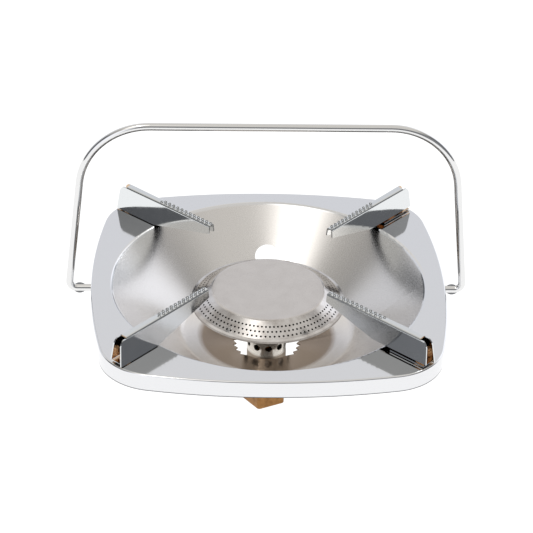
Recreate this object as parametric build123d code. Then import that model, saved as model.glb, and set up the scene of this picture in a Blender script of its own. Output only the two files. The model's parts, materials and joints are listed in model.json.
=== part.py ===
"""Single-burner camping stove that screws onto a gas cartridge.

Frame: the origin is the centre of the mouth of the cartridge thread, in the
underside of the brass valve body. +Z is up, +X is to the right and -Y is the
side the cook faces. All sizes are in millimetres.
"""
from build123d import *
from math import atan2, cos, degrees, radians, sin, sqrt, tan
import os

# ---------------------------------------------------------------- driving sizes
FLANGE_Z = 85.0            # top of the drip pan's rim above the thread's mouth
SHEET = 0.8                # pan, bracket, tube and pot support sheet
THIN_SHEET = 0.6           # burner head sheet
RUNNING = 0.05             # radial clearance of a turning fit
SMALL_GAP = 0.1            # gap between flat faces that slide past each other

PAN_HALF = 105.75          # centre of the pan to the middle of each side
PAN_SIDE_R = 381.0         # each side of the rim bulges on this radius
PAN_CORNER_R = 34.8
LIP_HEIGHT = 10.5
LIP_FILLET = 1.1
BOWL_R = 94.0              # mouth of the bowl
BOWL_EDGE_R = 2.2
CREASE_R = 52.0            # ring where the wall turns into the floor
CREASE_DEPTH = 35.0
CREASE_FILLET = 9.0
STAR_TIP_R = 20.8          # air opening in the floor, toothed on its left and right
STAR_ROOT_R = 18.2
STAR_PLAIN_R = 17.2        # its front and back are plain arcs
STAR_PLAIN_HALF = 42       # degrees each side of front and back without teeth
STAR_POINTS = 24
FLOOR_LOW_R = 21.6         # the dished floor is lowest here
FLOOR_DEPTH = 43.0
LIGHTING_HOLE_R = 7.8      # hole in the back wall for a match
LIGHTING_HOLE_AT = 66.5
LIGHTING_HOLE_X = 2.0

HEAD_TOP_DEPTH = 5.0       # burner head, measured down from the rim
HEAD_DISC_R = 33.9
HEAD_SKIRT_R = 44.3
HEAD_SEAM_R = 46.1
HEAD_SEAM_DEPTH = 12.4
HEAD_SEAM_THICK = 1.4
PORT_R = 0.6
PORT_COUNT = 100
PORT_ROWS = (37.6, 40.2, 42.7)

TUBE_R = 11.9
TUBE_TOP_DEPTH = 24.0
AIR_HOLE_R = 2.1
AIR_HOLE_COUNT = 10
AIR_HOLE_DEPTH = 40.6

BLOCK_SIDE = 18.2          # brass valve body
BLOCK_SPLAY = 3.4          # its left side leans out by this much towards the back
BLOCK_CORNER_R = 2.0
BLOCK_TOP = 26.0
BOSS_R = 6.0
BOSS_TOP = 36.0
THREAD_R = 5.3             # bore of the cartridge thread
THREAD_LENGTH = 9.0
SEAL_SEAT_R = 4.6
SEAL_SEAT_TOP = 10.6
INLET_R = 1.6
INLET_TOP = 14.0
PIN_R = 0.9                # pin that opens the cartridge's own valve
PIN_START = 9.3
CROSS_LOW = 12.0           # the cross that holds the pin in the inlet
CROSS_HIGH = 13.0
CROSS_HALF = 0.4
SEAL_RING_R = 3.8
SEAL_CORD_R = 0.75
PASSAGE_R = 0.8
BLOCK_EDGE = 0.6
FILTER_BORE_R = 1.5
FILTER_BORE_Z = 22.0
JET_SHANK_R = 2.5
JET_SHANK_Z = 30.0
JET_TOP = 42.0
JET_HEX = 7.0
JET_HEX_HEIGHT = 3.5
JET_NOSE_R = 2.6
JET_TIP_R = 1.2
JET_BORE_R = 1.0
JET_ORIFICE_R = 0.3
FILTER_LIFT = 3.0          # the filter sits this far up its bore
FILTER_THICK = 2.5
LOCK_WASHER_R = 9.0
LOCK_NUT_HEX = 16.0
LOCK_NUT_HEIGHT = 4.0
SPINDLE_ANGLE = 25.0       # the spindle points right and a little to the back
SPINDLE_Z = 17.0
SPINDLE_R = 2.0
SPINDLE_BOSS_R = 4.5
SPINDLE_BOSS_END = 13.0
SPINDLE_THREAD_R = 2.5
SPINDLE_END = 46.5
CHAMBER_START = 2.7
O_RING_POCKET_START = 11.0
O_RING_POCKET_R = 3.6
O_RING_R = 2.8
O_RING_CORD_R = 0.72
NEEDLE_TIP_R = 0.1
NEEDLE_ROOT_R = 1.1
NEEDLE_REACH = 0.8         # the needle's cone ends this far either side of the chamber's start
GLAND_HEX = 11.0
GLAND_GRIP = 3.6           # the gland nut reaches this far over the boss
GLAND_CAP = 1.8
KNOB_START = 36.0
KNOB_LENGTH = 15.0
KNOB_R = 11.0
KNOB_EDGE_R = 1.5
KNOB_FLUTES = 12
KNOB_FLUTE_R = 1.7
KNOB_FLUTE_OUT = 0.7       # centre of each flute outside the knob's side
KNOB_FACE_R = 6.5          # recess in the front face
KNOB_HOLLOW_R = 8.6        # moulded-out ring in the back
KNOB_HUB_R = 5.2
KNOB_HOLLOW_DEPTH = 4.0
KNOB_INSERT_R = 3.5
KNOB_SCREW_R = 1.1
SCREW_LENGTH = 4.0
SCREW_HEAD_R = 4.1
SCREW_HEAD_HEIGHT = 1.8
SCREW_SLOT_HALF = 0.4
SCREW_SLOT_DEPTH = 0.9

STRAP_WIDTH = 20.0         # bracket that carries the pan on the valve body
STRAP_THICK = 1.2
STRAP_BEND_Y = 13.0
STRAP_FOOT_START = 29.0
STRAP_FOOT_END = 43.0

PIVOT_R = 119.0            # pot support pivots, on the pan's diagonals
ARM_TAIL = 7.0             # from the pivot out to the support's open end
ARM_REACH = 68.5           # from the pivot in to the support's tip
ARM_LIFT = 0.5             # underside of the support above the rim
ARM_HEIGHT = 16.5
ARM_TIP_HEIGHT = 5.5
ARM_KNEE = 24.0            # the lower edge climbs to the tip from here
ARM_TWIST = 2.3            # the supports rest turned this much off the diagonals
ARM_TAIL_LEAN = 1.2        # the open end leans inward by this much
ARM_CROWN_R = 1.4
ARM_TAIL_ROUND = 5.5       # the top strip starts where the round open end stops
ARM_TOP_HALF = (2.7, 2.0)  # half width of the top strip at the tail and tip
ARM_SPLAY = 1.7            # each side leans out by this much at its foot
ARM_FOOT_MARGIN = 1.5      # the turned-in foot stops short of the open end
ARM_FOOT_END = 19.0
ARM_SIDE_GAP = 2.0         # the side without the foot hangs this far above it
DIMPLE_START = 28.0
DIMPLE_PITCH = 3.4
DIMPLE_COUNT = 12
DIMPLE_R = 0.8
DIMPLE_OFFSET = 0.85
STUD_R = 1.9
STUD_HEAD_R = 3.5
STUD_END = 1.2             # thread left proud of the nut
STUD_END_R = 0.7
SPACER_R = 3.8
WASHER_R = 2.9
WASHER_THICK = 0.7
NUT_HEX = 4.6
NUT_HEIGHT = 2.6

WIRE_R = 2.25              # bail handle wire
BAIL_PIVOT_DEPTH = 4.5
BAIL_HALF = 117.6          # wire's centre line at the pivot
BAIL_TOP = 104.7           # crossbar above the rim
BAIL_LEAN = 5.8            # each leg leans inward by this many degrees
BAIL_CORNER_R = 41.0
BAIL_FOOT_R = 4.4
BAIL_STUB_END = 101.0
BAIL_PLAY = -1.2           # the handle stands a little to the left in its holes
EAR_AT = 111.2             # stop ears pressed out of each foot
EAR_HALF = 3.1
EAR_LENGTH = 9.0
EAR_THICK = 1.9
EAR_TILT = 28.0            # the ears face forward and up

# ---------------------------------------------------------------- derived sizes
LIP_Z = FLANGE_Z - LIP_HEIGHT
HEAD_TOP = FLANGE_Z - HEAD_TOP_DEPTH
HEAD_SEAM_Z = FLANGE_Z - HEAD_SEAM_DEPTH
TUBE_TOP = FLANGE_Z - TUBE_TOP_DEPTH
BAIL_PIVOT_Z = FLANGE_Z - BAIL_PIVOT_DEPTH
STRAP_TOP = BLOCK_TOP + STRAP_THICK
TUBE_FLOOR_TOP = STRAP_TOP + SHEET
HALF_TURN = 180.0
AIR_HOLE_START = -86.4
RIM_OVERLAP = 4.0
DIAGONALS = {"front_left": 225.0, "front_right": 315.0, "back_left": 135.0, "back_right": 45.0}
DISTRIBUTOR_ROWS = ((30.0, 24), (38.0, 36))
DISTRIBUTOR_HOLE_R = 1.5

parts = {}


# ---------------------------------------------------------------- small helpers
def about_z(shape, angle):
    """Turn a shape about the stove's vertical axis."""
    return shape.rotate(Axis.Z, angle)


def disc(radius, z_low, z_high):
    """Upright cylinder between two heights on the stove's axis."""
    upright = (Align.CENTER, Align.CENTER, Align.MIN)
    return Pos(0, 0, z_low) * Cylinder(radius, z_high - z_low, align=upright)


def ring(outer, inner, z_low, z_high):
    """Upright tube between two heights on the stove's axis."""
    return disc(outer, z_low, z_high) - disc(inner, z_low - 1, z_high + 1)


def hexagon(across_flats, z_low, z_high):
    """Upright hexagonal prism on the stove's axis."""
    outline = RegularPolygon(across_flats / 2, 6, major_radius=False)
    return Pos(0, 0, z_low) * extrude(outline, z_high - z_low)


def slab(x_low, x_high, y_low, y_high, z_low, z_high):
    """Box between two corners."""
    size = (x_high - x_low, y_high - y_low, z_high - z_low)
    return Pos(x_low, y_low, z_low) * Box(*size, align=(Align.MIN, Align.MIN, Align.MIN))


def along_spindle(shape):
    """Lay an upright shape along the spindle: its height becomes the distance from the axis."""
    return about_z(Pos(0, 0, SPINDLE_Z) * Rot(0, 90, 0) * shape, SPINDLE_ANGLE)


def spun(points):
    """Solid of revolution of a closed polygon of (radius, height) points."""
    outline = make_face(Polyline(*[(r, 0, z) for r, z in points], close=True))
    return revolve(outline, Axis.Z, 360)


def sheet_of_revolution(points, radii, thickness):
    """Spun sheet whose upper face follows the points, from the outside in, with rounded corners."""
    path = [(r, 0, z) for r, z in points]
    upper = FilletPolyline(*path, radius=radii) if radii else Polyline(*path)
    (outer, outer_z), (inner, inner_z) = points[0], points[-1]
    deep = inner_z - 2 * FLANGE_Z
    closing = Polyline((inner, 0, inner_z), (inner, 0, deep), (outer, 0, deep), (outer, 0, outer_z))
    below = revolve(make_face(Wire(upper.edges() + closing.edges())), Axis.Z, 360)
    return below - Pos(0, 0, -thickness) * below - disc(2 * PAN_HALF, 2 * deep, deep + thickness)


# ---------------------------------------------------------------- drip pan
def corner_centre():
    """Centre of a rim corner arc, (c, c), tangent to both neighbouring side arcs."""
    side_centre = PAN_HALF - PAN_SIDE_R
    reach = PAN_SIDE_R - PAN_CORNER_R
    return (side_centre + sqrt(2 * reach * reach - side_centre * side_centre)) / 2


def rim_outline(inset):
    """Face bounded by the rim's outline, moved in by an inset."""
    centre = corner_centre()
    side_centre = PAN_HALF - PAN_SIDE_R
    joint_angle = atan2(centre, centre - side_centre)
    side_r = PAN_SIDE_R - inset
    joint = (side_centre + side_r * cos(joint_angle), side_r * sin(joint_angle))
    middle = centre + (PAN_CORNER_R - inset) * cos(radians(45))
    side = ThreePointArc((joint[0], -joint[1]), (PAN_HALF - inset, 0), joint)
    corner = ThreePointArc(joint, (middle, middle), (joint[1], joint[0]))
    edges = [edge.rotate(Axis.Z, 90 * quarter) for quarter in range(4) for edge in (side, corner)]
    return make_face(Wire(edges))


def star_outline():
    """Face of the toothed air opening."""
    corners = []
    for index in range(2 * STAR_POINTS):
        angle = radians(index * HALF_TURN / STAR_POINTS)
        radius = STAR_TIP_R if index % 2 else STAR_ROOT_R
        if abs(sin(angle)) > cos(radians(STAR_PLAIN_HALF)):
            radius = STAR_PLAIN_R
        corners.append((radius * cos(angle), radius * sin(angle)))
    return make_face(Polyline(*corners, close=True))


def floor_height(radius):
    """Height of the bowl's upper face between the crease and the star."""
    share = (radius - CREASE_R) / (FLOOR_LOW_R - CREASE_R)
    return FLANGE_Z - CREASE_DEPTH - share * (FLOOR_DEPTH - CREASE_DEPTH)


def make_bowl():
    """Cone wall and dished floor, with the star-shaped air opening and the lighting hole."""
    bowl = sheet_of_revolution(
        [
            (BOWL_R + RIM_OVERLAP, FLANGE_Z),
            (BOWL_R, FLANGE_Z),
            (CREASE_R, FLANGE_Z - CREASE_DEPTH),
            (BOSS_R, floor_height(BOSS_R)),
        ],
        [BOWL_EDGE_R, CREASE_FILLET],
        SHEET,
    )
    bowl -= extrude(star_outline(), FLANGE_Z)
    wall_slope = CREASE_DEPTH / (BOWL_R - CREASE_R)
    hole_z = FLANGE_Z - wall_slope * (BOWL_R - LIGHTING_HOLE_AT)
    punch = Rot(degrees(atan2(wall_slope, 1)), 0, 0) * Cylinder(LIGHTING_HOLE_R, 4 * BOWL_EDGE_R)
    return bowl - Pos(LIGHTING_HOLE_X, LIGHTING_HOLE_AT, hole_z) * punch


def make_pan():
    """One pressed sheet: rim with a turned-down lip, cone wall and dished floor."""
    block = Pos(0, 0, LIP_Z) * extrude(rim_outline(0), LIP_HEIGHT)
    block = fillet(block.faces().sort_by(Axis.Z)[-1].edges(), LIP_FILLET)
    hollow = Pos(0, 0, LIP_Z - SHEET) * extrude(rim_outline(SHEET), LIP_HEIGHT)
    pan = block - hollow - disc(BOWL_R + RIM_OVERLAP, 0, 2 * FLANGE_Z) + make_bowl()
    for side in (-PAN_HALF, PAN_HALF):
        pan -= Pos(side, 0, BAIL_PIVOT_Z) * Rot(0, 90, 0) * Cylinder(WIRE_R + RUNNING, 6 * SHEET)
    for angle in DIAGONALS.values():
        pan -= about_z(Pos(PIVOT_R, 0, FLANGE_Z) * Cylinder(STUD_R, 6 * SHEET), angle)
    return pan


# ---------------------------------------------------------------- bracket
def make_bracket():
    """Strap from front to back: clamped on the valve body, spot-welded under the bowl."""
    half = STRAP_WIDTH / 2
    end_z = floor_height(STRAP_FOOT_START) - SHEET - STRAP_THICK
    outline = make_face(
        Polyline(
            (0, STRAP_FOOT_START + 1, end_z),
            (0, STRAP_BEND_Y, BLOCK_TOP),
            (0, -STRAP_BEND_Y, BLOCK_TOP),
            (0, -STRAP_FOOT_START - 1, end_z),
            (0, -STRAP_FOOT_START, end_z + STRAP_THICK - SMALL_GAP),
            (0, -STRAP_BEND_Y + STRAP_THICK / 2, STRAP_TOP),
            (0, STRAP_BEND_Y - STRAP_THICK / 2, STRAP_TOP),
            (0, STRAP_FOOT_START, end_z + STRAP_THICK - SMALL_GAP),
            close=True,
        )
    )
    bracket = extrude(outline, half, both=True)
    foot_ring = sheet_of_revolution(
        [(r, floor_height(r) - SHEET) for r in (STRAP_FOOT_END + 3, STRAP_FOOT_START - 3)],
        None,
        STRAP_THICK,
    )
    bracket += foot_ring & slab(-half, half, STRAP_FOOT_START, STRAP_FOOT_END, 0, FLANGE_Z)
    bracket += foot_ring & slab(-half, half, -STRAP_FOOT_END, -STRAP_FOOT_START, 0, FLANGE_Z)
    return bracket - disc(BOSS_R, 0, FLANGE_Z)


# ---------------------------------------------------------------- burner
def make_burner_cap():
    """Flat disc with a conical skirt, three rows of flame ports and a rolled seam."""
    skirt_foot = HEAD_SEAM_Z + THIN_SHEET / 2
    cap = sheet_of_revolution(
        [
            (HEAD_SEAM_R, HEAD_SEAM_Z),
            (HEAD_SKIRT_R, skirt_foot),
            (HEAD_DISC_R, HEAD_TOP),
            (0, HEAD_TOP),
        ],
        [THIN_SHEET, 4 * THIN_SHEET],
        THIN_SHEET,
    )
    cap += ring(HEAD_SEAM_R, HEAD_SEAM_R - THIN_SHEET, HEAD_SEAM_Z - HEAD_SEAM_THICK, HEAD_SEAM_Z - SMALL_GAP)
    slope = (HEAD_TOP - skirt_foot) / (HEAD_SKIRT_R - HEAD_DISC_R)
    tilt = degrees(atan2(slope, 1))
    drills = []
    for row, radius in enumerate(PORT_ROWS):
        height = HEAD_TOP - slope * (radius - HEAD_DISC_R)
        drill = Pos(radius, 0, height) * Rot(0, tilt, 0) * Cylinder(PORT_R, 4 * THIN_SHEET)
        stagger = (row % 2) / 2
        drills += [about_z(drill, (index + stagger) * 360 / PORT_COUNT) for index in range(PORT_COUNT)]
    return cap - drills


def make_burner_cup():
    """Lower half of the burner head: a shallow cone with a collar for the mixing tube."""
    seat_z = HEAD_SEAM_Z - THIN_SHEET - SMALL_GAP / 2
    seat_r = HEAD_SEAM_R - THIN_SHEET
    cup = sheet_of_revolution(
        [(seat_r, seat_z), (HEAD_SKIRT_R - 1, seat_z), (TUBE_R, TUBE_TOP + SHEET)],
        [2 * THIN_SHEET],
        THIN_SHEET,
    )
    return cup + ring(TUBE_R + SHEET, TUBE_R, TUBE_TOP - 4 * SHEET, TUBE_TOP + SHEET)


def make_distributor():
    """Perforated plate that rests on the cup's seat and spreads the gas to the ports."""
    seat_z = HEAD_SEAM_Z - THIN_SHEET - SMALL_GAP / 2
    plate = disc(HEAD_SKIRT_R - 0.6, seat_z, seat_z + THIN_SHEET / 2)
    drills = []
    for radius, count in DISTRIBUTOR_ROWS:
        drill = Pos(radius, 0, seat_z) * Cylinder(DISTRIBUTOR_HOLE_R, 4 * THIN_SHEET)
        drills += [about_z(drill, index * 360 / count) for index in range(count)]
    return plate - drills


def make_mixing_tube():
    """Tube with a ring of air holes, closed at its foot except for the valve's boss."""
    tube = ring(TUBE_R, TUBE_R - SHEET, STRAP_TOP, TUBE_TOP)
    tube += ring(TUBE_R, BOSS_R, STRAP_TOP, TUBE_FLOOR_TOP)
    hole = Pos(TUBE_R, 0, FLANGE_Z - AIR_HOLE_DEPTH) * Rot(0, 90, 0) * Cylinder(AIR_HOLE_R, 4 * SHEET)
    for index in range(AIR_HOLE_COUNT):
        tube -= about_z(hole, AIR_HOLE_START + index * 360 / AIR_HOLE_COUNT)
    return tube


# ---------------------------------------------------------------- valve
def make_valve_body():
    """Brass block with the cartridge thread below, the jet boss on top and a spindle boss."""
    half = BLOCK_SIDE / 2
    outline = make_face(
        Polyline((half, -half), (half, half), (-half - BLOCK_SPLAY, half), (-half, -half), close=True)
    )
    block = extrude(fillet(outline.vertices(), BLOCK_CORNER_R), BLOCK_TOP)
    rims = block.faces().sort_by(Axis.Z)[0].edges() + block.faces().sort_by(Axis.Z)[-1].edges()
    body = about_z(fillet(rims, BLOCK_EDGE), SPINDLE_ANGLE)
    body += disc(BOSS_R, BLOCK_TOP - 1, BOSS_TOP)
    body += along_spindle(disc(SPINDLE_BOSS_R, half - 1, SPINDLE_BOSS_END))
    body -= disc(THREAD_R, -1, THREAD_LENGTH)
    body -= disc(SEAL_SEAT_R, THREAD_LENGTH - 1, SEAL_SEAT_TOP)
    body -= disc(INLET_R, SEAL_SEAT_TOP - 1, INLET_TOP)
    body -= disc(PASSAGE_R, INLET_TOP - 1, SPINDLE_Z + PASSAGE_R)
    body -= along_spindle(disc(PASSAGE_R, 0, CHAMBER_START + 1))
    body -= along_spindle(disc(SPINDLE_THREAD_R + RUNNING, CHAMBER_START, SPINDLE_BOSS_END + 1))
    body -= along_spindle(disc(O_RING_POCKET_R, O_RING_POCKET_START, SPINDLE_BOSS_END + 1))
    link = Pos(CHAMBER_START, 0, SPINDLE_Z + SPINDLE_THREAD_R) * Rot(0, -35, 0) * Cylinder(PASSAGE_R, 9)
    body -= about_z(link, SPINDLE_ANGLE)
    body -= disc(FILTER_BORE_R, FILTER_BORE_Z, BOSS_TOP)
    return body - disc(JET_SHANK_R, JET_SHANK_Z, BOSS_TOP + 1)


def make_depressor_pin():
    """Pin that opens the cartridge's own valve, held by a cross in the inlet."""
    bar = slab(-INLET_R, INLET_R, -CROSS_HALF, CROSS_HALF, CROSS_LOW, CROSS_HIGH)
    cross = (bar + about_z(bar, 90)) & disc(INLET_R, CROSS_LOW, CROSS_HIGH)
    return disc(PIN_R, PIN_START, INLET_TOP) + cross


def make_jet():
    """Screwed-in gas jet with a hexagon and a pointed nose."""
    jet = disc(JET_SHANK_R, JET_SHANK_Z + 1, BOSS_TOP)
    hex_top = BOSS_TOP + JET_HEX_HEIGHT
    jet += hexagon(JET_HEX, BOSS_TOP, hex_top)
    nose = [(0, hex_top - 0.5), (JET_NOSE_R, hex_top - 0.5), (JET_NOSE_R, hex_top + 0.3)]
    jet += spun(nose + [(JET_TIP_R, JET_TOP), (0, JET_TOP)])
    jet -= disc(JET_BORE_R, 0, JET_TOP - 2)
    return jet - disc(JET_ORIFICE_R, 0, JET_TOP + 1)


def make_spindle():
    """Needle, screwed body and shaft of the control valve, with a tapped end for the knob screw."""
    outline = [
        (0, CHAMBER_START - NEEDLE_REACH),
        (NEEDLE_TIP_R, CHAMBER_START - NEEDLE_REACH),
        (NEEDLE_ROOT_R, CHAMBER_START + NEEDLE_REACH),
        (SPINDLE_THREAD_R, CHAMBER_START + 2 * NEEDLE_REACH),
        (SPINDLE_THREAD_R, O_RING_POCKET_START - 1.5),
        (SPINDLE_R, O_RING_POCKET_START - 1.0),
        (SPINDLE_R, SPINDLE_END),
        (0, SPINDLE_END),
    ]
    tapping = disc(KNOB_SCREW_R, SPINDLE_END - SCREW_LENGTH - 0.5, SPINDLE_END + 1)
    return along_spindle(spun(outline) - tapping)


def make_gland_nut():
    """Cap nut over the spindle boss that squeezes the O-ring."""
    nut = hexagon(GLAND_HEX, SPINDLE_BOSS_END - GLAND_GRIP, SPINDLE_BOSS_END + GLAND_CAP)
    nut -= disc(SPINDLE_BOSS_R, 0, SPINDLE_BOSS_END)
    return along_spindle(nut - disc(SPINDLE_R + RUNNING, 0, FLANGE_Z))


def make_knob():
    """Fluted moulded knob with a recessed face."""
    knob = disc(KNOB_R, KNOB_START, KNOB_START + KNOB_LENGTH)
    knob = fillet(knob.edges().sort_by(Axis.Z)[-1:], KNOB_EDGE_R)
    flute_middle = Pos(KNOB_R + KNOB_FLUTE_OUT, 0, KNOB_START + KNOB_LENGTH / 2)
    flute = flute_middle * Cylinder(KNOB_FLUTE_R, KNOB_LENGTH + 2)
    for index in range(KNOB_FLUTES):
        knob -= about_z(flute, index * 360 / KNOB_FLUTES)
    knob -= disc(KNOB_FACE_R, SPINDLE_END + 1, KNOB_START + KNOB_LENGTH + 1)
    knob -= ring(KNOB_HOLLOW_R, KNOB_HUB_R, KNOB_START - 1, KNOB_START + KNOB_HOLLOW_DEPTH)
    return along_spindle(knob - disc(KNOB_INSERT_R, 0, FLANGE_Z))


def make_knob_screw():
    """Pan-head screw into the end of the spindle."""
    head_z = SPINDLE_END + 1
    head_top = head_z + SCREW_HEAD_HEIGHT
    screw = disc(KNOB_SCREW_R, SPINDLE_END - SCREW_LENGTH, head_z) + disc(SCREW_HEAD_R, head_z, head_top)
    slot_floor = head_top - SCREW_SLOT_DEPTH
    slot = slab(-KNOB_R, KNOB_R, -SCREW_SLOT_HALF, SCREW_SLOT_HALF, slot_floor, head_top + 1)
    return along_spindle(screw - slot)


# ---------------------------------------------------------------- pot supports
def support_envelope(wall):
    """Tapered prism with sloping flat sides, moved in by a wall thickness on its sides and top."""
    prism = slab(-ARM_TAIL, ARM_REACH, -2 * ARM_TAIL, 2 * ARM_TAIL, -wall, ARM_HEIGHT - wall)
    tail_top, tip_top = ARM_TOP_HALF
    for side in (1, -1):
        high_tail = Vector(-ARM_TAIL, side * tail_top, ARM_HEIGHT)
        low_tail = Vector(-ARM_TAIL, side * (tail_top + ARM_SPLAY), 0)
        high_tip = Vector(ARM_REACH, side * tip_top, ARM_HEIGHT)
        outward = (high_tail - low_tail).cross(high_tip - high_tail) * side
        face = Plane(origin=high_tail, z_dir=outward).offset(-wall)
        prism = split(prism, bisect_by=face, keep=Keep.BOTTOM)
    return prism


def support_side():
    """Side view of a pot support: round tail, level top, lower edge that climbs to the tip."""
    tail = ARM_TAIL_LEAN - ARM_TAIL
    low = ARM_HEIGHT - ARM_TAIL_ROUND
    bend = ARM_TAIL_ROUND * (1 - cos(radians(45)))
    arc = ThreePointArc((tail, 0, low), (tail + bend, 0, ARM_HEIGHT - bend), (tail + ARM_TAIL_ROUND, 0, ARM_HEIGHT))
    rest = Polyline(
        (tail + ARM_TAIL_ROUND, 0, ARM_HEIGHT),
        (ARM_REACH, 0, ARM_HEIGHT),
        (ARM_REACH, 0, ARM_HEIGHT - ARM_TIP_HEIGHT),
        (ARM_KNEE, 0, 0),
        (-ARM_TAIL, 0, 0),
        (tail, 0, low),
    )
    return extrude(make_face(Wire(arc.edges() + rest.edges())), 3 * ARM_TAIL, both=True)


def make_support():
    """Folded channel, pivot at the origin, pointing along +X, with gripping dimples on top."""
    outer = support_envelope(0)
    crown = outer.edges().filter_by(lambda edge: edge.center().Z > ARM_HEIGHT - 1 and edge.length > ARM_REACH)
    outer = fillet(crown, ARM_CROWN_R)
    arm = (outer - support_envelope(SHEET)) & support_side()
    arm -= slab(-2 * ARM_TAIL, ARM_REACH, ARM_TOP_HALF[1], 2 * ARM_TAIL, 0, ARM_SIDE_GAP)
    arm += outer & slab(ARM_FOOT_MARGIN - ARM_TAIL, ARM_FOOT_END, -ARM_TAIL, ARM_TAIL, 0, SHEET)
    strip_start = ARM_TAIL_ROUND + ARM_TAIL_LEAN - ARM_TAIL
    arm -= slab(-2 * ARM_TAIL, strip_start, -ARM_TAIL, ARM_TAIL, ARM_HEIGHT - SHEET, 2 * ARM_HEIGHT)
    arm -= Cylinder(STUD_R + RUNNING, 4 * SHEET)
    for index in range(DIMPLE_COUNT):
        for side, shift in ((-DIMPLE_OFFSET, 0), (DIMPLE_OFFSET, DIMPLE_PITCH / 2)):
            x = DIMPLE_START + index * DIMPLE_PITCH + shift
            arm -= Pos(x, side, ARM_HEIGHT + DIMPLE_R / 3) * Sphere(DIMPLE_R)
    return arm


def place_support(shape, angle):
    """Stand a support on its pivot, pointing at the burner."""
    return about_z(Pos(PIVOT_R, 0, FLANGE_Z + ARM_LIFT) * Rot(0, 0, HALF_TURN + ARM_TWIST) * shape, angle)


def at_each_pivot(shape):
    """Copies of a shape at the four pivots."""
    return Compound([about_z(Pos(PIVOT_R, 0, FLANGE_Z) * shape, angle) for angle in DIAGONALS.values()])


def make_pivot_hardware():
    """Stud, spacer, washer and nut of each pivot."""
    washer_z = ARM_LIFT + SHEET + SMALL_GAP
    nut_z = washer_z + WASHER_THICK
    nut_top = nut_z + NUT_HEIGHT
    stud = disc(STUD_R, -SHEET, nut_top + STUD_END) + disc(STUD_HEAD_R, -3 * SHEET, -SHEET)
    stud = fillet(stud.edges().sort_by(Axis.Z)[-1:], STUD_END_R)
    parts["pivot_studs"] = at_each_pivot(stud)
    parts["pivot_spacers"] = at_each_pivot(ring(SPACER_R, STUD_R, 0, ARM_LIFT - SMALL_GAP))
    parts["pivot_washers"] = at_each_pivot(ring(WASHER_R, STUD_R, washer_z, nut_z))
    parts["pivot_nuts"] = at_each_pivot(hexagon(NUT_HEX, nut_z, nut_top) - disc(STUD_R, 0, FLANGE_Z))


# ---------------------------------------------------------------- bail handle
def make_stop_ears():
    """Lens-shaped ears that stop a foot of the handle against the lip, centred on the origin."""
    lens_r = (EAR_HALF * EAR_HALF + EAR_LENGTH * EAR_LENGTH / 4) / (2 * EAR_HALF)
    upper = Pos(0, 0, EAR_HALF - lens_r) * Rot(90, 0, 0) * Cylinder(lens_r, EAR_THICK)
    lower = Pos(0, 0, lens_r - EAR_HALF) * Rot(90, 0, 0) * Cylinder(lens_r, EAR_THICK)
    return Rot(-EAR_TILT, 0, 0) * (upper & lower)


def make_bail():
    """Bent wire handle with stop ears, whose ends turn in through the lip."""
    top_z = FLANGE_Z + BAIL_TOP
    top_half = BAIL_HALF - (top_z - BAIL_PIVOT_Z) * tan(radians(BAIL_LEAN))
    right = [(top_half, 0, top_z), (BAIL_HALF, 0, BAIL_PIVOT_Z), (BAIL_STUB_END, 0, BAIL_PIVOT_Z)]
    left = [(-x, y, z) for x, y, z in reversed(right)]
    path = FilletPolyline(*left, *right, radius=[BAIL_FOOT_R, BAIL_CORNER_R, BAIL_CORNER_R, BAIL_FOOT_R])
    section = Plane(origin=path @ 0, z_dir=path % 0) * Circle(WIRE_R)
    bail = sweep(section, path=path)
    for side in (-EAR_AT, EAR_AT):
        bail += Pos(side, 0, BAIL_PIVOT_Z) * make_stop_ears()
    return Pos(BAIL_PLAY, 0, 0) * bail


# ---------------------------------------------------------------- build
def build_all():
    """Make every sub-part in place."""
    parts["pan"] = make_pan()
    parts["bridge_bracket"] = make_bracket()
    parts["burner_cap"] = make_burner_cap()
    parts["burner_cup"] = make_burner_cup()
    parts["gas_distributor"] = make_distributor()
    parts["mixing_tube"] = make_mixing_tube()
    parts["valve_body"] = make_valve_body()
    nut_z = TUBE_FLOOR_TOP + SHEET
    parts["lock_washer"] = ring(LOCK_WASHER_R, BOSS_R, TUBE_FLOOR_TOP, nut_z)
    parts["lock_nut"] = hexagon(LOCK_NUT_HEX, nut_z, nut_z + LOCK_NUT_HEIGHT) - disc(BOSS_R, 0, FLANGE_Z)
    parts["jet"] = make_jet()
    filter_z = FILTER_BORE_Z + FILTER_LIFT
    parts["jet_filter"] = disc(FILTER_BORE_R, filter_z, filter_z + FILTER_THICK)
    parts["depressor_pin"] = make_depressor_pin()
    seal_z = (THREAD_LENGTH + SEAL_SEAT_TOP) / 2
    parts["cartridge_seal"] = Pos(0, 0, seal_z) * Torus(SEAL_RING_R, SEAL_CORD_R)
    parts["spindle"] = make_spindle()
    o_ring_at = (O_RING_POCKET_START + SPINDLE_BOSS_END) / 2
    parts["spindle_o_ring"] = along_spindle(Pos(0, 0, o_ring_at) * Torus(O_RING_R, O_RING_CORD_R))
    parts["gland_nut"] = make_gland_nut()
    parts["knob"] = make_knob()
    parts["knob_insert"] = along_spindle(ring(KNOB_INSERT_R, SPINDLE_R, KNOB_START, SPINDLE_END + 1))
    parts["knob_screw"] = make_knob_screw()
    support = make_support()
    for place, angle in DIAGONALS.items():
        parts[f"pot_support_{place}"] = place_support(support, angle)
    make_pivot_hardware()
    parts["bail_handle"] = make_bail()


build_all()
os.makedirs("parts", exist_ok=True)
for name, shape in parts.items():
    export_step(shape, f"parts/{name}.step")
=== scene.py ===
"""Camping stove: finishes, burrs, cartridge thread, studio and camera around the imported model."""
import json
import math

import bmesh
import bpy
from mathutils import Matrix, Vector


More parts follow.
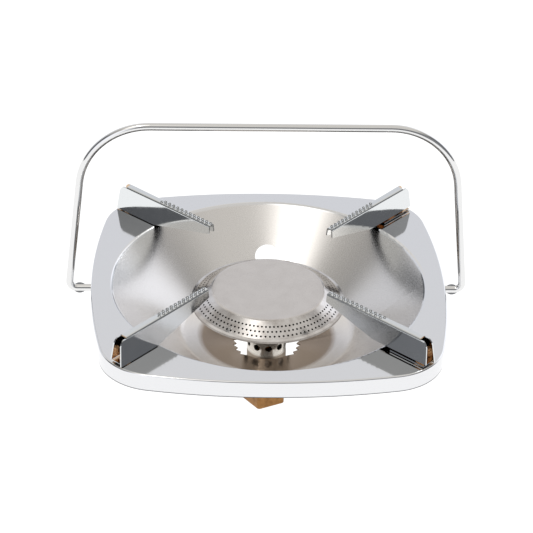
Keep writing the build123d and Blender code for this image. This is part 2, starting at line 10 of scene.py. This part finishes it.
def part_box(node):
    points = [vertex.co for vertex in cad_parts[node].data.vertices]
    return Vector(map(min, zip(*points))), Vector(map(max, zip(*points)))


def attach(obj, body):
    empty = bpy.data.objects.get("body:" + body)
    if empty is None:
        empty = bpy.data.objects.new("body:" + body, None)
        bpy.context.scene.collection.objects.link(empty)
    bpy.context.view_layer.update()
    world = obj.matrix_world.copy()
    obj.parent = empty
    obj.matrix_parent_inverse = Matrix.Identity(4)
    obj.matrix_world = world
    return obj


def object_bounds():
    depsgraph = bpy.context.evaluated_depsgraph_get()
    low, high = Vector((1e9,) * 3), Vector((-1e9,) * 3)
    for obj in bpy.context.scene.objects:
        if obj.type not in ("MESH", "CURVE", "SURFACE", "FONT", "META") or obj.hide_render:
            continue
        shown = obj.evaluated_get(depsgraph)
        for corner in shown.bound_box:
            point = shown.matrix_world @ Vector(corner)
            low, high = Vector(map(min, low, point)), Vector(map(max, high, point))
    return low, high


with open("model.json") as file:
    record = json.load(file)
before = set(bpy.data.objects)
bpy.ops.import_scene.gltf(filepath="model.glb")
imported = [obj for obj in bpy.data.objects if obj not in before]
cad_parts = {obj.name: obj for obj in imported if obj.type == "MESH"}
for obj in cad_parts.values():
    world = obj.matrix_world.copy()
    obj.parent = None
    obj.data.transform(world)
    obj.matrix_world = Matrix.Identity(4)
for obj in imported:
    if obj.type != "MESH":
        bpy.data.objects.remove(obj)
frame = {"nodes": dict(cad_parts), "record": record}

CAD_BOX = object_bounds()
MM = 0.001

# ---------------------------------------------------------------- places read from the frame
PAN_HIGH = Vector(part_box("pan")[1])
RIM_CENTRE = Vector((0.0, 0.0, PAN_HIGH.z))
SUPPORT_TOP_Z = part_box("pot_support_front_left")[1][2]
BOWL_FLOOR_Z = PAN_HIGH.z - 42.5 * MM
PAN_LIP_Z = PAN_HIGH.z - 10.5 * MM
STOVE_BODY = "stove"

# ---------------------------------------------------------------- the pan's zones
BOWL_MOUTH_R = 94.0 * MM
RIM_DEPTH = 1.4 * MM          # the polished rim ends this far down the bowl's edge
LIP_SHADE_BAND = 0.7 * MM           # the lip's bottom edge is painted dark this high, as painted shade of the gap under it
HEAT_TINT_AND_SHADE_RING = (38.5 * MM, 42.5 * MM)    # the floor is brown inside, heat tint with painted shade and reflection of the burner's dark underside, and bright outside
DISC_EDGE = (33.0 * MM, 34.5 * MM)    # the burner's flat disc turns into its skirt here

# ---------------------------------------------------------------- supports
DIAGONALS = {"front_left": 225.0, "front_right": 315.0, "back_left": 135.0, "back_right": 45.0}
PIVOT_R = 119.0 * MM
SUPPORT_TWIST = 2.3           # degrees the supports are turned off the diagonals
SUPPORT_FOOT = 3.0 * MM       # the turned-in foot lies within this height above the rim
PAINTED_SHADE_REACH = (20.0 * MM, 26.0 * MM)  # the painted shade and brass reflection inside fades out here, inward of the pivot
BURR_START = 28.0 * MM        # first dimple, measured inward from the pivot
BURR_PITCH = 3.4 * MM
BURR_COUNT = 12
BURR_OFFSET = 0.85 * MM
BURR_R = 0.75 * MM
BURR_WIDTH = 0.5 * MM
BURR_HEIGHT = 0.42 * MM
BURR_STEPS = 12

# ---------------------------------------------------------------- cartridge thread
THREAD_R = 5.3 * MM
THREAD_PITCH = 0.907 * MM     # 28 turns per inch
THREAD_DEPTH = 0.45 * MM
THREAD_RUN = (0.8 * MM, 8.4 * MM)
THREAD_STEPS = 48             # points on each turn
THREAD_SHARPEST = 0.02 * MM   # the ridge fades to this at both ends

# ---------------------------------------------------------------- colours
RIM_COLOUR = (0.76, 0.765, 0.78)
BOWL_COLOUR = (0.71, 0.695, 0.685)
BOWL_FLOOR_PAINTED_LIGHT_COLOUR = (0.82, 0.79, 0.77)
HEAT_TINT_AND_BURNER_SHADE_COLOUR = (0.38, 0.305, 0.24)
LIP_SHADE_COLOUR = (0.05, 0.05, 0.06)
SUPPORT_COLOUR = (0.72, 0.74, 0.75)
INSIDE_SHADE_BROWN = (0.60, 0.44, 0.30)
TUBE_COLOUR = (0.76, 0.71, 0.64)
TUBE_FOOT_SHADE = (0.30, 0.24, 0.18)
DISC_COLOUR = (0.65, 0.62, 0.60)

# ---------------------------------------------------------------- camera and light
CAMERA_AZIMUTH = -2.58        # degrees; the camera stands a little to the left
CAMERA_ELEVATION = 32.21
CAMERA_ROLL = 1.68
CAMERA_DISTANCE = 1.437
CAMERA_LENS = 162.5
CAMERA_SHIFT = (-0.0035, 0.0289)
CAMERA_REACH = 100.0
KEY_DIRECTION = (-0.27, -0.32, 0.906)
KEY_DISTANCE = 1.2
KEY_SIZE = 0.17
KEY_POWER = 0.55
GROUND_SIZE = 60.0
GROUND_DROP = 0.5 * MM
GROUND_SHINE = 1.05


# ---------------------------------------------------------------- node helpers
RANGE_SOCKETS = ("From Min", "From Max", "To Min", "To Max")


def level(degrees):
    """Level unit vector at an angle about the stove's upright axis."""
    return Vector((math.cos(math.radians(degrees)), math.sin(math.radians(degrees)), 0.0))


class Shader:
    """A principled material and short calls to build its node tree."""

    def __init__(self, name):
        self.material = bpy.data.materials.new(name)
        self.material.use_nodes = True
        self.tree = self.material.node_tree
        self.surface = self.tree.nodes["Principled BSDF"]
        coordinates = self.add("ShaderNodeTexCoord")
        self.place = coordinates.outputs["Object"]
        self.normal = coordinates.outputs["Normal"]

    def add(self, kind, **settings):
        node = self.tree.nodes.new(kind)
        for key, value in settings.items():
            setattr(node, key, value)
        return node

    def link(self, source, target):
        self.tree.links.new(source, target)

    def drive(self, name, source):
        """Let a socket drive one of the surface's inputs."""
        self.link(source, self.surface.inputs[name])

    def base(self, colour, roughness, metallic=1.0):
        self.surface.inputs["Base Color"].default_value = (*colour, 1.0)
        self.surface.inputs["Roughness"].default_value = roughness
        self.surface.inputs["Metallic"].default_value = metallic

    def stretched(self, scale):
        mapping = self.add("ShaderNodeMapping")
        mapping.inputs["Scale"].default_value = scale
        self.link(self.place, mapping.inputs["Vector"])
        return mapping.outputs["Vector"]

    def noise(self, scale, detail=3.0, vector=None):
        node = self.add("ShaderNodeTexNoise")
        node.inputs["Scale"].default_value = scale
        node.inputs["Detail"].default_value = detail
        self.link(vector or self.place, node.inputs["Vector"])
        return node.outputs["Fac"]

    def math(self, operation, first, second=None, third=None, clamp=False):
        node = self.add("ShaderNodeMath", operation=operation, use_clamp=clamp)
        for socket, value in zip(node.inputs, (first, second, third)):
            if value is None:
                continue
            if isinstance(value, (int, float)):
                socket.default_value = value
            else:
                self.link(value, socket)
        return node.outputs[0]

    def spread(self, value, low, high, to_low, to_high):
        node = self.add("ShaderNodeMapRange")
        for key, number in zip(RANGE_SOCKETS, (low, high, to_low, to_high)):
            node.inputs[key].default_value = number
        self.link(value, node.inputs["Value"])
        return node.outputs["Result"]

    def blend(self, factor, first, second):
        """Mix two colours; each is a colour or a socket."""
        node = self.add("ShaderNodeMix", data_type="RGBA")
        self.link(factor, node.inputs["Factor"])
        for socket, value in zip((node.inputs[6], node.inputs[7]), (first, second)):
            if isinstance(value, tuple):
                socket.default_value = (*value, 1.0)
            else:
                self.link(value, socket)
        return node.outputs[2]

    def bump(self, height, distance, strength=1.0):
        node = self.add("ShaderNodeBump")
        node.inputs["Strength"].default_value = strength
        node.inputs["Distance"].default_value = distance
        self.link(height, node.inputs["Height"])
        self.drive("Normal", node.outputs["Normal"])

    def along(self, vector, direction):
        """Component of a vector along a direction."""
        node = self.add("ShaderNodeVectorMath", operation="DOT_PRODUCT")
        self.link(vector, node.inputs[0])
        node.inputs[1].default_value = direction
        return node.outputs["Value"]

    def cylindrical(self):
        """Distance from the stove's upright axis, and height."""
        split = self.add("ShaderNodeSeparateXYZ")
        self.link(self.place, split.inputs[0])
        square = self.math("MULTIPLY", split.outputs["X"], split.outputs["X"])
        total = self.math("MULTIPLY_ADD", split.outputs["Y"], split.outputs["Y"], square)
        return self.math("SQRT", total), split.outputs["Z"]


# ---------------------------------------------------------------- materials
def bowl_colour(shader, radius, height):
    """Satin bowl wall, a floor coloured lighter as painted light, and a brown ring round the burner that is
    heat tint with painted shade of the burner's dark underside.
    """
    # painted light: the bowl floor is coloured lighter than its wall
    low = shader.spread(height, BOWL_FLOOR_Z + 7.0 * MM, BOWL_FLOOR_Z + 12.0 * MM, 1.0, 0.0)
    # painted shade: the brown ring round the burner is heat tint with the burner's dark underside painted in
    # as shade and reflection
    heat = shader.spread(radius, HEAT_TINT_AND_SHADE_RING[0], HEAT_TINT_AND_SHADE_RING[1], 1.0, 0.0)
    return shader.blend(heat, shader.blend(low, BOWL_COLOUR, BOWL_FLOOR_PAINTED_LIGHT_COLOUR), HEAT_TINT_AND_BURNER_SHADE_COLOUR)


def bowl_roughness(shader, grain, cloud, height):
    """Fine even grain, a little glossier on the floor."""
    satin = shader.math("MULTIPLY_ADD", cloud, 0.06, shader.spread(grain, 0.3, 0.7, 0.17, 0.27))
    deep = shader.spread(height, BOWL_FLOOR_Z + 1.0 * MM, BOWL_FLOOR_Z + 8.0 * MM, 0.8, 1.0)
    return shader.math("MULTIPLY", satin, deep)


def pan_material():
    """Mirror rim and lip around a satin bowl, on one pressed sheet."""
    shader = Shader("pan_plate")
    shader.base(RIM_COLOUR, 0.3)
    radius, height = shader.cylindrical()
    inside = shader.math("LESS_THAN", radius, BOWL_MOUTH_R)
    below = shader.spread(height, RIM_CENTRE.z - RIM_DEPTH, RIM_CENTRE.z - 0.5 * RIM_DEPTH, 1.0, 0.0)
    bowl = shader.math("MULTIPLY", inside, below, clamp=True)
    grain = shader.noise(2600.0, 2.0)
    cloud = shader.noise(18.0, 4.0)
    rough = shader.add("ShaderNodeMix", data_type="FLOAT")
    shader.link(bowl, rough.inputs["Factor"])
    shader.link(shader.spread(cloud, 0.3, 0.7, 0.06, 0.10), rough.inputs[2])
    shader.link(bowl_roughness(shader, grain, cloud, height), rough.inputs[3])
    shader.drive("Roughness", rough.outputs[0])
    colour = shader.blend(bowl, RIM_COLOUR, bowl_colour(shader, radius, height))
    # painted shade: a dark band along the bottom of the lip, outside the bowl
    lip_edge_shade = shader.spread(height, PAN_LIP_Z + 0.3 * LIP_SHADE_BAND, PAN_LIP_Z + LIP_SHADE_BAND, 1.0, 0.0)
    lip_edge_shade = shader.math("MULTIPLY", lip_edge_shade, shader.math("GREATER_THAN", radius, BOWL_MOUTH_R))
    shader.drive("Base Color", shader.blend(lip_edge_shade, colour, LIP_SHADE_COLOUR))
    shader.bump(shader.math("MULTIPLY", grain, bowl), 0.00002, 0.35)
    return shader.material


def plated_material(name, colour, roughness, wave):
    """Polished plating with a faint waviness and small wear in its gloss."""
    shader = Shader(name)
    shader.base(colour, roughness)
    wear = shader.noise(160.0, 5.0)
    shader.drive("Roughness", shader.spread(wear, 0.35, 0.75, roughness, roughness * 2.2))
    shader.bump(shader.noise(45.0, 2.0), wave, 0.5)
    return shader.material


def tube_material():
    """Polished tube whose foot, below the bowl floor, is painted dark tan as painted shade and reflection of
    the shadowed underside of the pan.
    """
    shader = Shader("tube_steel")
    shader.base(TUBE_COLOUR, 0.18, metallic=0.55)
    height = shader.cylindrical()[1]
    wear = shader.noise(160.0, 5.0)
    # painted shade: the tube below the bowl floor is darkened for the shade under the pan
    foot = shader.spread(height, BOWL_FLOOR_Z - 4.5 * MM, BOWL_FLOOR_Z - 2.8 * MM, 1.0, 0.0)
    shader.drive("Base Color", shader.blend(foot, TUBE_COLOUR, TUBE_FOOT_SHADE))
    rough = shader.spread(wear, 0.35, 0.75, 0.14, 0.24)
    shader.drive("Roughness", shader.math("MULTIPLY_ADD", foot, 0.3, rough))
    return shader.material


def support_inside_shade(shader, degrees):
    """1 on the faces inside a folded support and on its foot, near the pivot, and 0 elsewhere."""
    outward = level(degrees)
    across = level(degrees + SUPPORT_TWIST + 90.0)
    upward = shader.along(shader.normal, (0.0, 0.0, 1.0))
    offset = shader.math("SUBTRACT", shader.along(shader.place, across), PIVOT_R * outward.dot(across))
    facing = shader.along(shader.normal, across)
    wall = shader.math("LESS_THAN", shader.math("MULTIPLY", offset, facing), -0.2 * MM)
    strip = shader.math("LESS_THAN", upward, -0.5)
    near_rim = shader.math("LESS_THAN", shader.cylindrical()[1], RIM_CENTRE.z + SUPPORT_FOOT)
    foot = shader.math("MULTIPLY", near_rim, shader.math("GREATER_THAN", upward, 0.5))
    inside = shader.math("MAXIMUM", shader.math("MAXIMUM", wall, strip), foot)
    inward = shader.math("SUBTRACT", PIVOT_R, shader.along(shader.place, outward))
    return shader.math("MULTIPLY", inside, shader.spread(inward, *PAINTED_SHADE_REACH, 1.0, 0.0))


def support_material(place, degrees):
    """Polished plating outside and, inside near the pivot, brown as painted shade and reflection of the
    brass pivot parts, on one folded channel.
    """
    shader = Shader(f"support_plate_{place}")
    shader.base(SUPPORT_COLOUR, 0.05)
    inside = support_inside_shade(shader, degrees)
    # painted shade: the inside of the channel near the pivot is coloured brown for its shade and the brass
    # it reflects
    shader.drive("Base Color", shader.blend(inside, SUPPORT_COLOUR, INSIDE_SHADE_BROWN))
    wear = shader.spread(shader.noise(160.0, 5.0), 0.35, 0.75, 0.05, 0.11)
    shader.drive("Roughness", shader.math("MULTIPLY_ADD", inside, 0.03, wear))
    shader.bump(shader.noise(45.0, 2.0), 0.00006, 0.5)
    return shader.material


def satin_material(name, colour, roughness, warm):
    """Stamped stainless sheet with a fine grain and slight heat tint."""
    shader = Shader(name)
    shader.base(colour, roughness)
    grain = shader.noise(1800.0, 2.0)
    shader.drive("Roughness", shader.spread(grain, 0.3, 0.7, roughness - 0.05, roughness + 0.07))
    tint = shader.spread(shader.noise(22.0, 3.0), 0.4, 0.7, 0.0, 1.0)
    shader.drive("Base Color", shader.blend(tint, colour, warm))
    shader.bump(grain, 0.00002, 0.3)
    return shader.material


def burner_material():
    """Burner cap: finely blasted disc, brighter rolled skirt, slight heat tint."""
    shader = Shader("burner_steel")
    shader.base(DISC_COLOUR, 0.3)
    skirt = shader.spread(shader.cylindrical()[0], *DISC_EDGE, 0.0, 1.0)
    grain = shader.noise(2400.0, 2.0)
    streaks = shader.noise(140.0, 4.0)
    rough = shader.spread(grain, 0.3, 0.7, 0.25, 0.36)
    shader.drive("Roughness", shader.math("MULTIPLY_ADD", skirt, -0.12, rough))
    tint = shader.spread(streaks, 0.4, 0.7, 0.0, 1.0)
    skin = shader.blend(tint, DISC_COLOUR, (0.61, 0.58, 0.56))
    bright = shader.blend(tint, (0.68, 0.66, 0.65), (0.48, 0.45, 0.43))
    shader.drive("Base Color", shader.blend(skirt, skin, bright))
    shader.bump(grain, 0.00002, 0.3)
    return shader.material


def machined_material(name, colour, dark, roughness, metallic=1.0):
    """Turned or sawn metal: fine cutter lines and a slightly uneven oxide."""
    shader = Shader(name)
    shader.base(colour, roughness, metallic)
    lines = shader.noise(900.0, 2.0, shader.stretched((1.0, 1.0, 6.0)))
    oxide = shader.noise(240.0, 5.0)
    shader.drive("Roughness", shader.spread(oxide, 0.35, 0.7, roughness - 0.06, roughness + 0.12))
    shader.drive("Base Color", shader.blend(shader.spread(oxide, 0.4, 0.7, 0.0, 1.0), colour, dark))
    shader.bump(lines, 0.00003, 0.35)
    return shader.material


def moulded_material(name, colour, roughness):
    """Moulded plastic or rubber with a fine texture."""
    shader = Shader(name)
    shader.base(colour, roughness, metallic=0.0)
    texture = shader.noise(1500.0, 3.0)
    shader.drive("Roughness", shader.spread(texture, 0.3, 0.7, roughness - 0.08, roughness + 0.08))
    shader.bump(texture, 0.00005, 0.4)
    return shader.material


def make_materials():
    """One finish for each of the record's material slots; the supports get one each later."""
    return {
        "chrome_pan": pan_material(),
        "chrome_wire": plated_material("wire_plate", (0.76, 0.76, 0.76), 0.04, 0.00003),
        "stainless_satin": burner_material(),
        "stainless_polished": tube_material(),
        "zinc_steel": satin_material("zinc_steel", (0.55, 0.56, 0.58), 0.32, (0.50, 0.50, 0.50)),
        "brass": machined_material("brass_stock", (0.33, 0.17, 0.065), (0.22, 0.11, 0.04), 0.30),
        "sintered_bronze": machined_material("sintered_bronze", (0.30, 0.19, 0.10), (0.20, 0.12, 0.07), 0.6),
        "rubber_black": moulded_material("seal_rubber", (0.02, 0.02, 0.02), 0.55),
        "plastic_black": moulded_material("knob_plastic", (0.025, 0.025, 0.028), 0.42),
    }


def node_finishes():
    """The finish of each CAD node: its record slot's, or its own where one slot isn't one look."""
    finishes = make_materials()
    slots = {entry["node"]: entry["material_slot"] for entry in frame["record"]["subparts"]}
    chosen = {node: finishes.get(slot) for node, slot in slots.items()}
    for place, degrees in DIAGONALS.items():
        chosen[f"pot_support_{place}"] = support_material(place, degrees)
    chosen["burner_cup"] = satin_material("heated_steel", (0.13, 0.10, 0.075), 0.38, (0.09, 0.065, 0.05))
    chosen["gas_distributor"] = satin_material("sooty_steel", (0.05, 0.045, 0.04), 0.55, (0.03, 0.03, 0.03))
    # painted shade: the bracket under the pan floor is coloured dark brown for the shade it sits in
    chosen["bridge_bracket"] = satin_material("bracket_painted_shade", (0.30, 0.26, 0.22), 0.35, (0.24, 0.20, 0.17))
    pale_brass = machined_material("pale_brass", (0.95, 0.80, 0.62), (0.85, 0.62, 0.42), 0.28, metallic=0.2)
    for node in ("pivot_studs", "pivot_nuts", "pivot_washers", "pivot_spacers"):
        chosen[node] = pale_brass
    return chosen


def dress_nodes(chosen):
    """Give each CAD node its finish."""
    for node, obj in frame["nodes"].items():
        if not obj.material_slots:
            obj.data.materials.append(None)
        for slot in obj.material_slots:
            slot.material = chosen[node]


# ---------------------------------------------------------------- detail pieces
def add_piece(name, body, mesh_builder, material):
    """Make a mesh piece with smooth faces and let it ride on a body."""
    mesh = bmesh.new()
    mesh_builder(mesh)
    bmesh.ops.recalc_face_normals(mesh, faces=mesh.faces)
    data = bpy.data.meshes.new(name)
    mesh.to_mesh(data)
    mesh.free()
    data.shade_smooth()
    data.materials.append(material)
    piece = bpy.data.objects.new(name, data)
    bpy.context.scene.collection.objects.link(piece)
    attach(piece, body)
    return piece


def bridge_loops(mesh, loops, closed):
    """Quads between each loop of points and the next."""
    rings = [[mesh.verts.new(point) for point in loop] for loop in loops]
    pairs = list(zip(rings, rings[1:]))
    if closed:
        pairs.append((rings[-1], rings[0]))
    for first, second in pairs:
        for here in range(len(first)):
            there = (here + 1) % len(first)
            mesh.faces.new((first[here], first[there], second[there], second[here]))
    if not closed:
        mesh.faces.new(rings[0])
        mesh.faces.new(reversed(rings[-1]))


def build_burr(mesh, centre):
    """Raised lip round a pierced dimple: a low ring whose crest curls outward."""
    section = ((0.0, -0.25), (0.55, -0.25), (0.45, 0.55), (0.2, 1.0), (-0.1, 0.6))
    loops = []
    for step in range(BURR_STEPS):
        spoke = level(360.0 * step / BURR_STEPS)
        loops.append([
            centre + spoke * (BURR_R + BURR_WIDTH * out) + Vector((0, 0, BURR_HEIGHT * up))
            for out, up in section
        ])
    bridge_loops(mesh, loops, closed=True)


def build_support_burrs(mesh, degrees):
    """Two staggered rows of burrs along the inner part of one support."""
    start = PIVOT_R * level(degrees) + Vector((0, 0, SUPPORT_TOP_Z))
    inward = level(degrees + 180.0 + SUPPORT_TWIST)
    sideways = level(degrees + 270.0 + SUPPORT_TWIST)
    for index in range(BURR_COUNT):
        for side, shift in ((-1, 0.0), (1, 0.5)):
            reach = BURR_START + (index + shift) * BURR_PITCH
            build_burr(mesh, start + inward * reach + sideways * side * BURR_OFFSET)


def build_thread(mesh):
    """Helical ridge that stands in from the cartridge bore and fades at both ends."""
    low, high = THREAD_RUN
    last = THREAD_STEPS * (high - low) / THREAD_PITCH
    loops = []
    for step in range(int(last) + 1):
        height = low + THREAD_PITCH * step / THREAD_STEPS
        spoke = level(360.0 * step / THREAD_STEPS)
        fade = min(1.0, step / THREAD_STEPS, (last - step) / THREAD_STEPS + 0.05)
        crest = THREAD_R - max(THREAD_DEPTH * fade, THREAD_SHARPEST)
        section = ((THREAD_R, -0.42), (crest, -0.1), (crest, 0.1), (THREAD_R, 0.42))
        loops.append([spoke * out + Vector((0, 0, height + THREAD_PITCH * up)) for out, up in section])
    bridge_loops(mesh, loops, closed=False)


def make_details(chosen):
    """Burrs on the supports and the cartridge thread."""
    burr_plate = plated_material("burr_plate", (0.50, 0.51, 0.52), 0.16, 0.00003)
    for place, degrees in DIAGONALS.items():
        add_piece(
            f"grip_burrs_{place}",
            f"support_{place}",
            lambda mesh, angle=degrees: build_support_burrs(mesh, angle),
            burr_plate,
        )
    add_piece("cartridge_thread_ridge", STOVE_BODY, build_thread, chosen["valve_body"])


# ---------------------------------------------------------------- studio
def make_floor():
    """Plain pale floor that shines evenly."""
    bpy.ops.mesh.primitive_plane_add(size=GROUND_SIZE, location=(0, 0, CAD_BOX[0][2] - GROUND_DROP))
    floor = bpy.context.object
    floor.name = "floor"
    shader = Shader("floor_white")
    shader.base((0.14, 0.14, 0.14), 0.9, metallic=0.0)
    shader.surface.inputs["Specular IOR Level"].default_value = 0.0
    shader.surface.inputs["Emission Color"].default_value = (1.0, 1.0, 1.0, 1.0)
    shader.surface.inputs["Emission Strength"].default_value = GROUND_SHINE
    floor.data.materials.append(shader.material)


class Studio:
    """Soft surroundings whose strength depends on the direction looked in."""

    def __init__(self):
        self.world = bpy.data.worlds.new("studio")
        bpy.context.scene.world = self.world
        self.world.use_nodes = True
        self.tree = self.world.node_tree
        coordinate = self.tree.nodes.new("ShaderNodeTexCoord")
        self.direction = coordinate.outputs["Generated"]
        split = self.tree.nodes.new("ShaderNodeSeparateXYZ")
        self.tree.links.new(self.direction, split.inputs[0])
        self.towards = split.outputs

    def ramp(self, source, low, high, to_low, to_high):
        node = self.tree.nodes.new("ShaderNodeMapRange")
        node.interpolation_type = "SMOOTHSTEP"
        for key, number in zip(RANGE_SOCKETS, (low, high, to_low, to_high)):
            node.inputs[key].default_value = number
        self.tree.links.new(source, node.inputs["Value"])
        return node.outputs["Result"]

    def join(self, operation, first, second):
        node = self.tree.nodes.new("ShaderNodeMath")
        node.operation = operation
        self.tree.links.new(first, node.inputs[0])
        self.tree.links.new(second, node.inputs[1])
        return node.outputs[0]

    def product(self, first, *others):
        for other in others:
            first = self.join("MULTIPLY", first, other)
        return first

    def likeness(self, direction):
        """1 when looking along a direction, less the further away from it."""
        node = self.tree.nodes.new("ShaderNodeVectorMath")
        node.operation = "DOT_PRODUCT"
        self.tree.links.new(self.direction, node.inputs[0])
        node.inputs[1].default_value = Vector(direction).normalized()
        return node.outputs["Value"]


def make_world():
    """Bright wall behind, window to the right, warm ceiling, dim room on the cook's side."""
    studio = Studio()
    across, along, up = (studio.towards[axis] for axis in "XYZ")
    wall = studio.ramp(along, 0.05, 0.55, 0.0, 0.86)
    window = studio.product(
        studio.ramp(across, -0.1, 0.75, 0.0, 0.19),
        studio.ramp(up, 0.5, 0.8, 1.0, 0.6),
    )
    ceiling = studio.product(
        studio.ramp(up, 0.56, 0.68, 0.13, 0.76),
        studio.ramp(across, -0.75, -0.2, 0.6, 1.0),
        studio.ramp(across, 0.5, 0.75, 1.0, 0.6),
    )
    far_right = studio.product(
        studio.ramp(across, 0.25, 0.5, 0.0, 0.46),
        studio.ramp(along, 0.1, 0.35, 0.0, 1.0),
        studio.ramp(up, 0.55, 0.7, 1.0, 0.0),
    )
    left = studio.product(
        studio.ramp(across, -0.85, -0.7, 1.0, 0.0),
        studio.ramp(along, -0.32, -0.05, 0.24, 0.0),
    )
    front = studio.product(
        studio.ramp(along, -0.65, -0.4, 1.2, 0.0),
        studio.ramp(up, 0.55, 0.72, 1.0, 0.2),
        studio.ramp(across, -0.4, -0.1, 1.0, 0.1),
    )
    glow = studio.ramp(studio.likeness(KEY_DIRECTION), 0.945, 0.99, 0.0, 0.95)
    strength = studio.join("MAXIMUM", wall, window)
    strength = studio.join("MAXIMUM", strength, ceiling)
    for light in (far_right, left, front, glow):
        strength = studio.join("ADD", strength, light)
    tint = studio.tree.nodes.new("ShaderNodeMix")
    tint.data_type = "RGBA"
    tint.inputs[6].default_value = (0.94, 0.955, 1.0, 1.0)
    tint.inputs[7].default_value = (1.0, 0.97, 0.92, 1.0)
    studio.tree.links.new(studio.ramp(up, 0.45, 0.75, 0.0, 1.0), tint.inputs["Factor"])
    background = studio.tree.nodes["Background"]
    studio.tree.links.new(tint.outputs[2], background.inputs["Color"])
    studio.tree.links.new(strength, background.inputs["Strength"])


def add_key_light():
    """Square softbox up on the left that looks at the middle of the rim."""
    data = bpy.data.lights.new("key", "AREA")
    data.shape = "SQUARE"
    data.size = KEY_SIZE
    data.energy = KEY_POWER
    light = bpy.data.objects.new("key", data)
    bpy.context.scene.collection.objects.link(light)
    towards = Vector(KEY_DIRECTION).normalized()
    facing = towards.to_track_quat("Z", "Y").to_matrix().to_4x4()
    light.matrix_world = Matrix.Translation(RIM_CENTRE + KEY_DISTANCE * towards) @ facing


def make_camera():
    """Long-lens camera above the cook's side, aimed at the middle of the rim."""
    elevation = math.radians(CAMERA_ELEVATION)
    away = level(CAMERA_AZIMUTH - 90.0) * math.cos(elevation) + Vector((0, 0, math.sin(elevation)))
    data = bpy.data.cameras.new("camera")
    data.lens = CAMERA_LENS
    data.sensor_width = 36.0
    data.shift_x, data.shift_y = CAMERA_SHIFT
    data.clip_end = CAMERA_REACH
    camera = bpy.data.objects.new("camera", data)
    bpy.context.scene.collection.objects.link(camera)
    facing = away.to_track_quat("Z", "Y").to_matrix().to_4x4()
    spin = Matrix.Rotation(math.radians(CAMERA_ROLL), 4, "Z")
    camera.matrix_world = Matrix.Translation(RIM_CENTRE + CAMERA_DISTANCE * away) @ facing @ spin
    bpy.context.scene.camera = camera


# ---------------------------------------------------------------- make it
make_camera()
make_world()
add_key_light()
make_floor()
finishes = node_finishes()
dress_nodes(finishes)
make_details(finishes)
bpy.context.scene.view_settings.view_transform = "Standard"
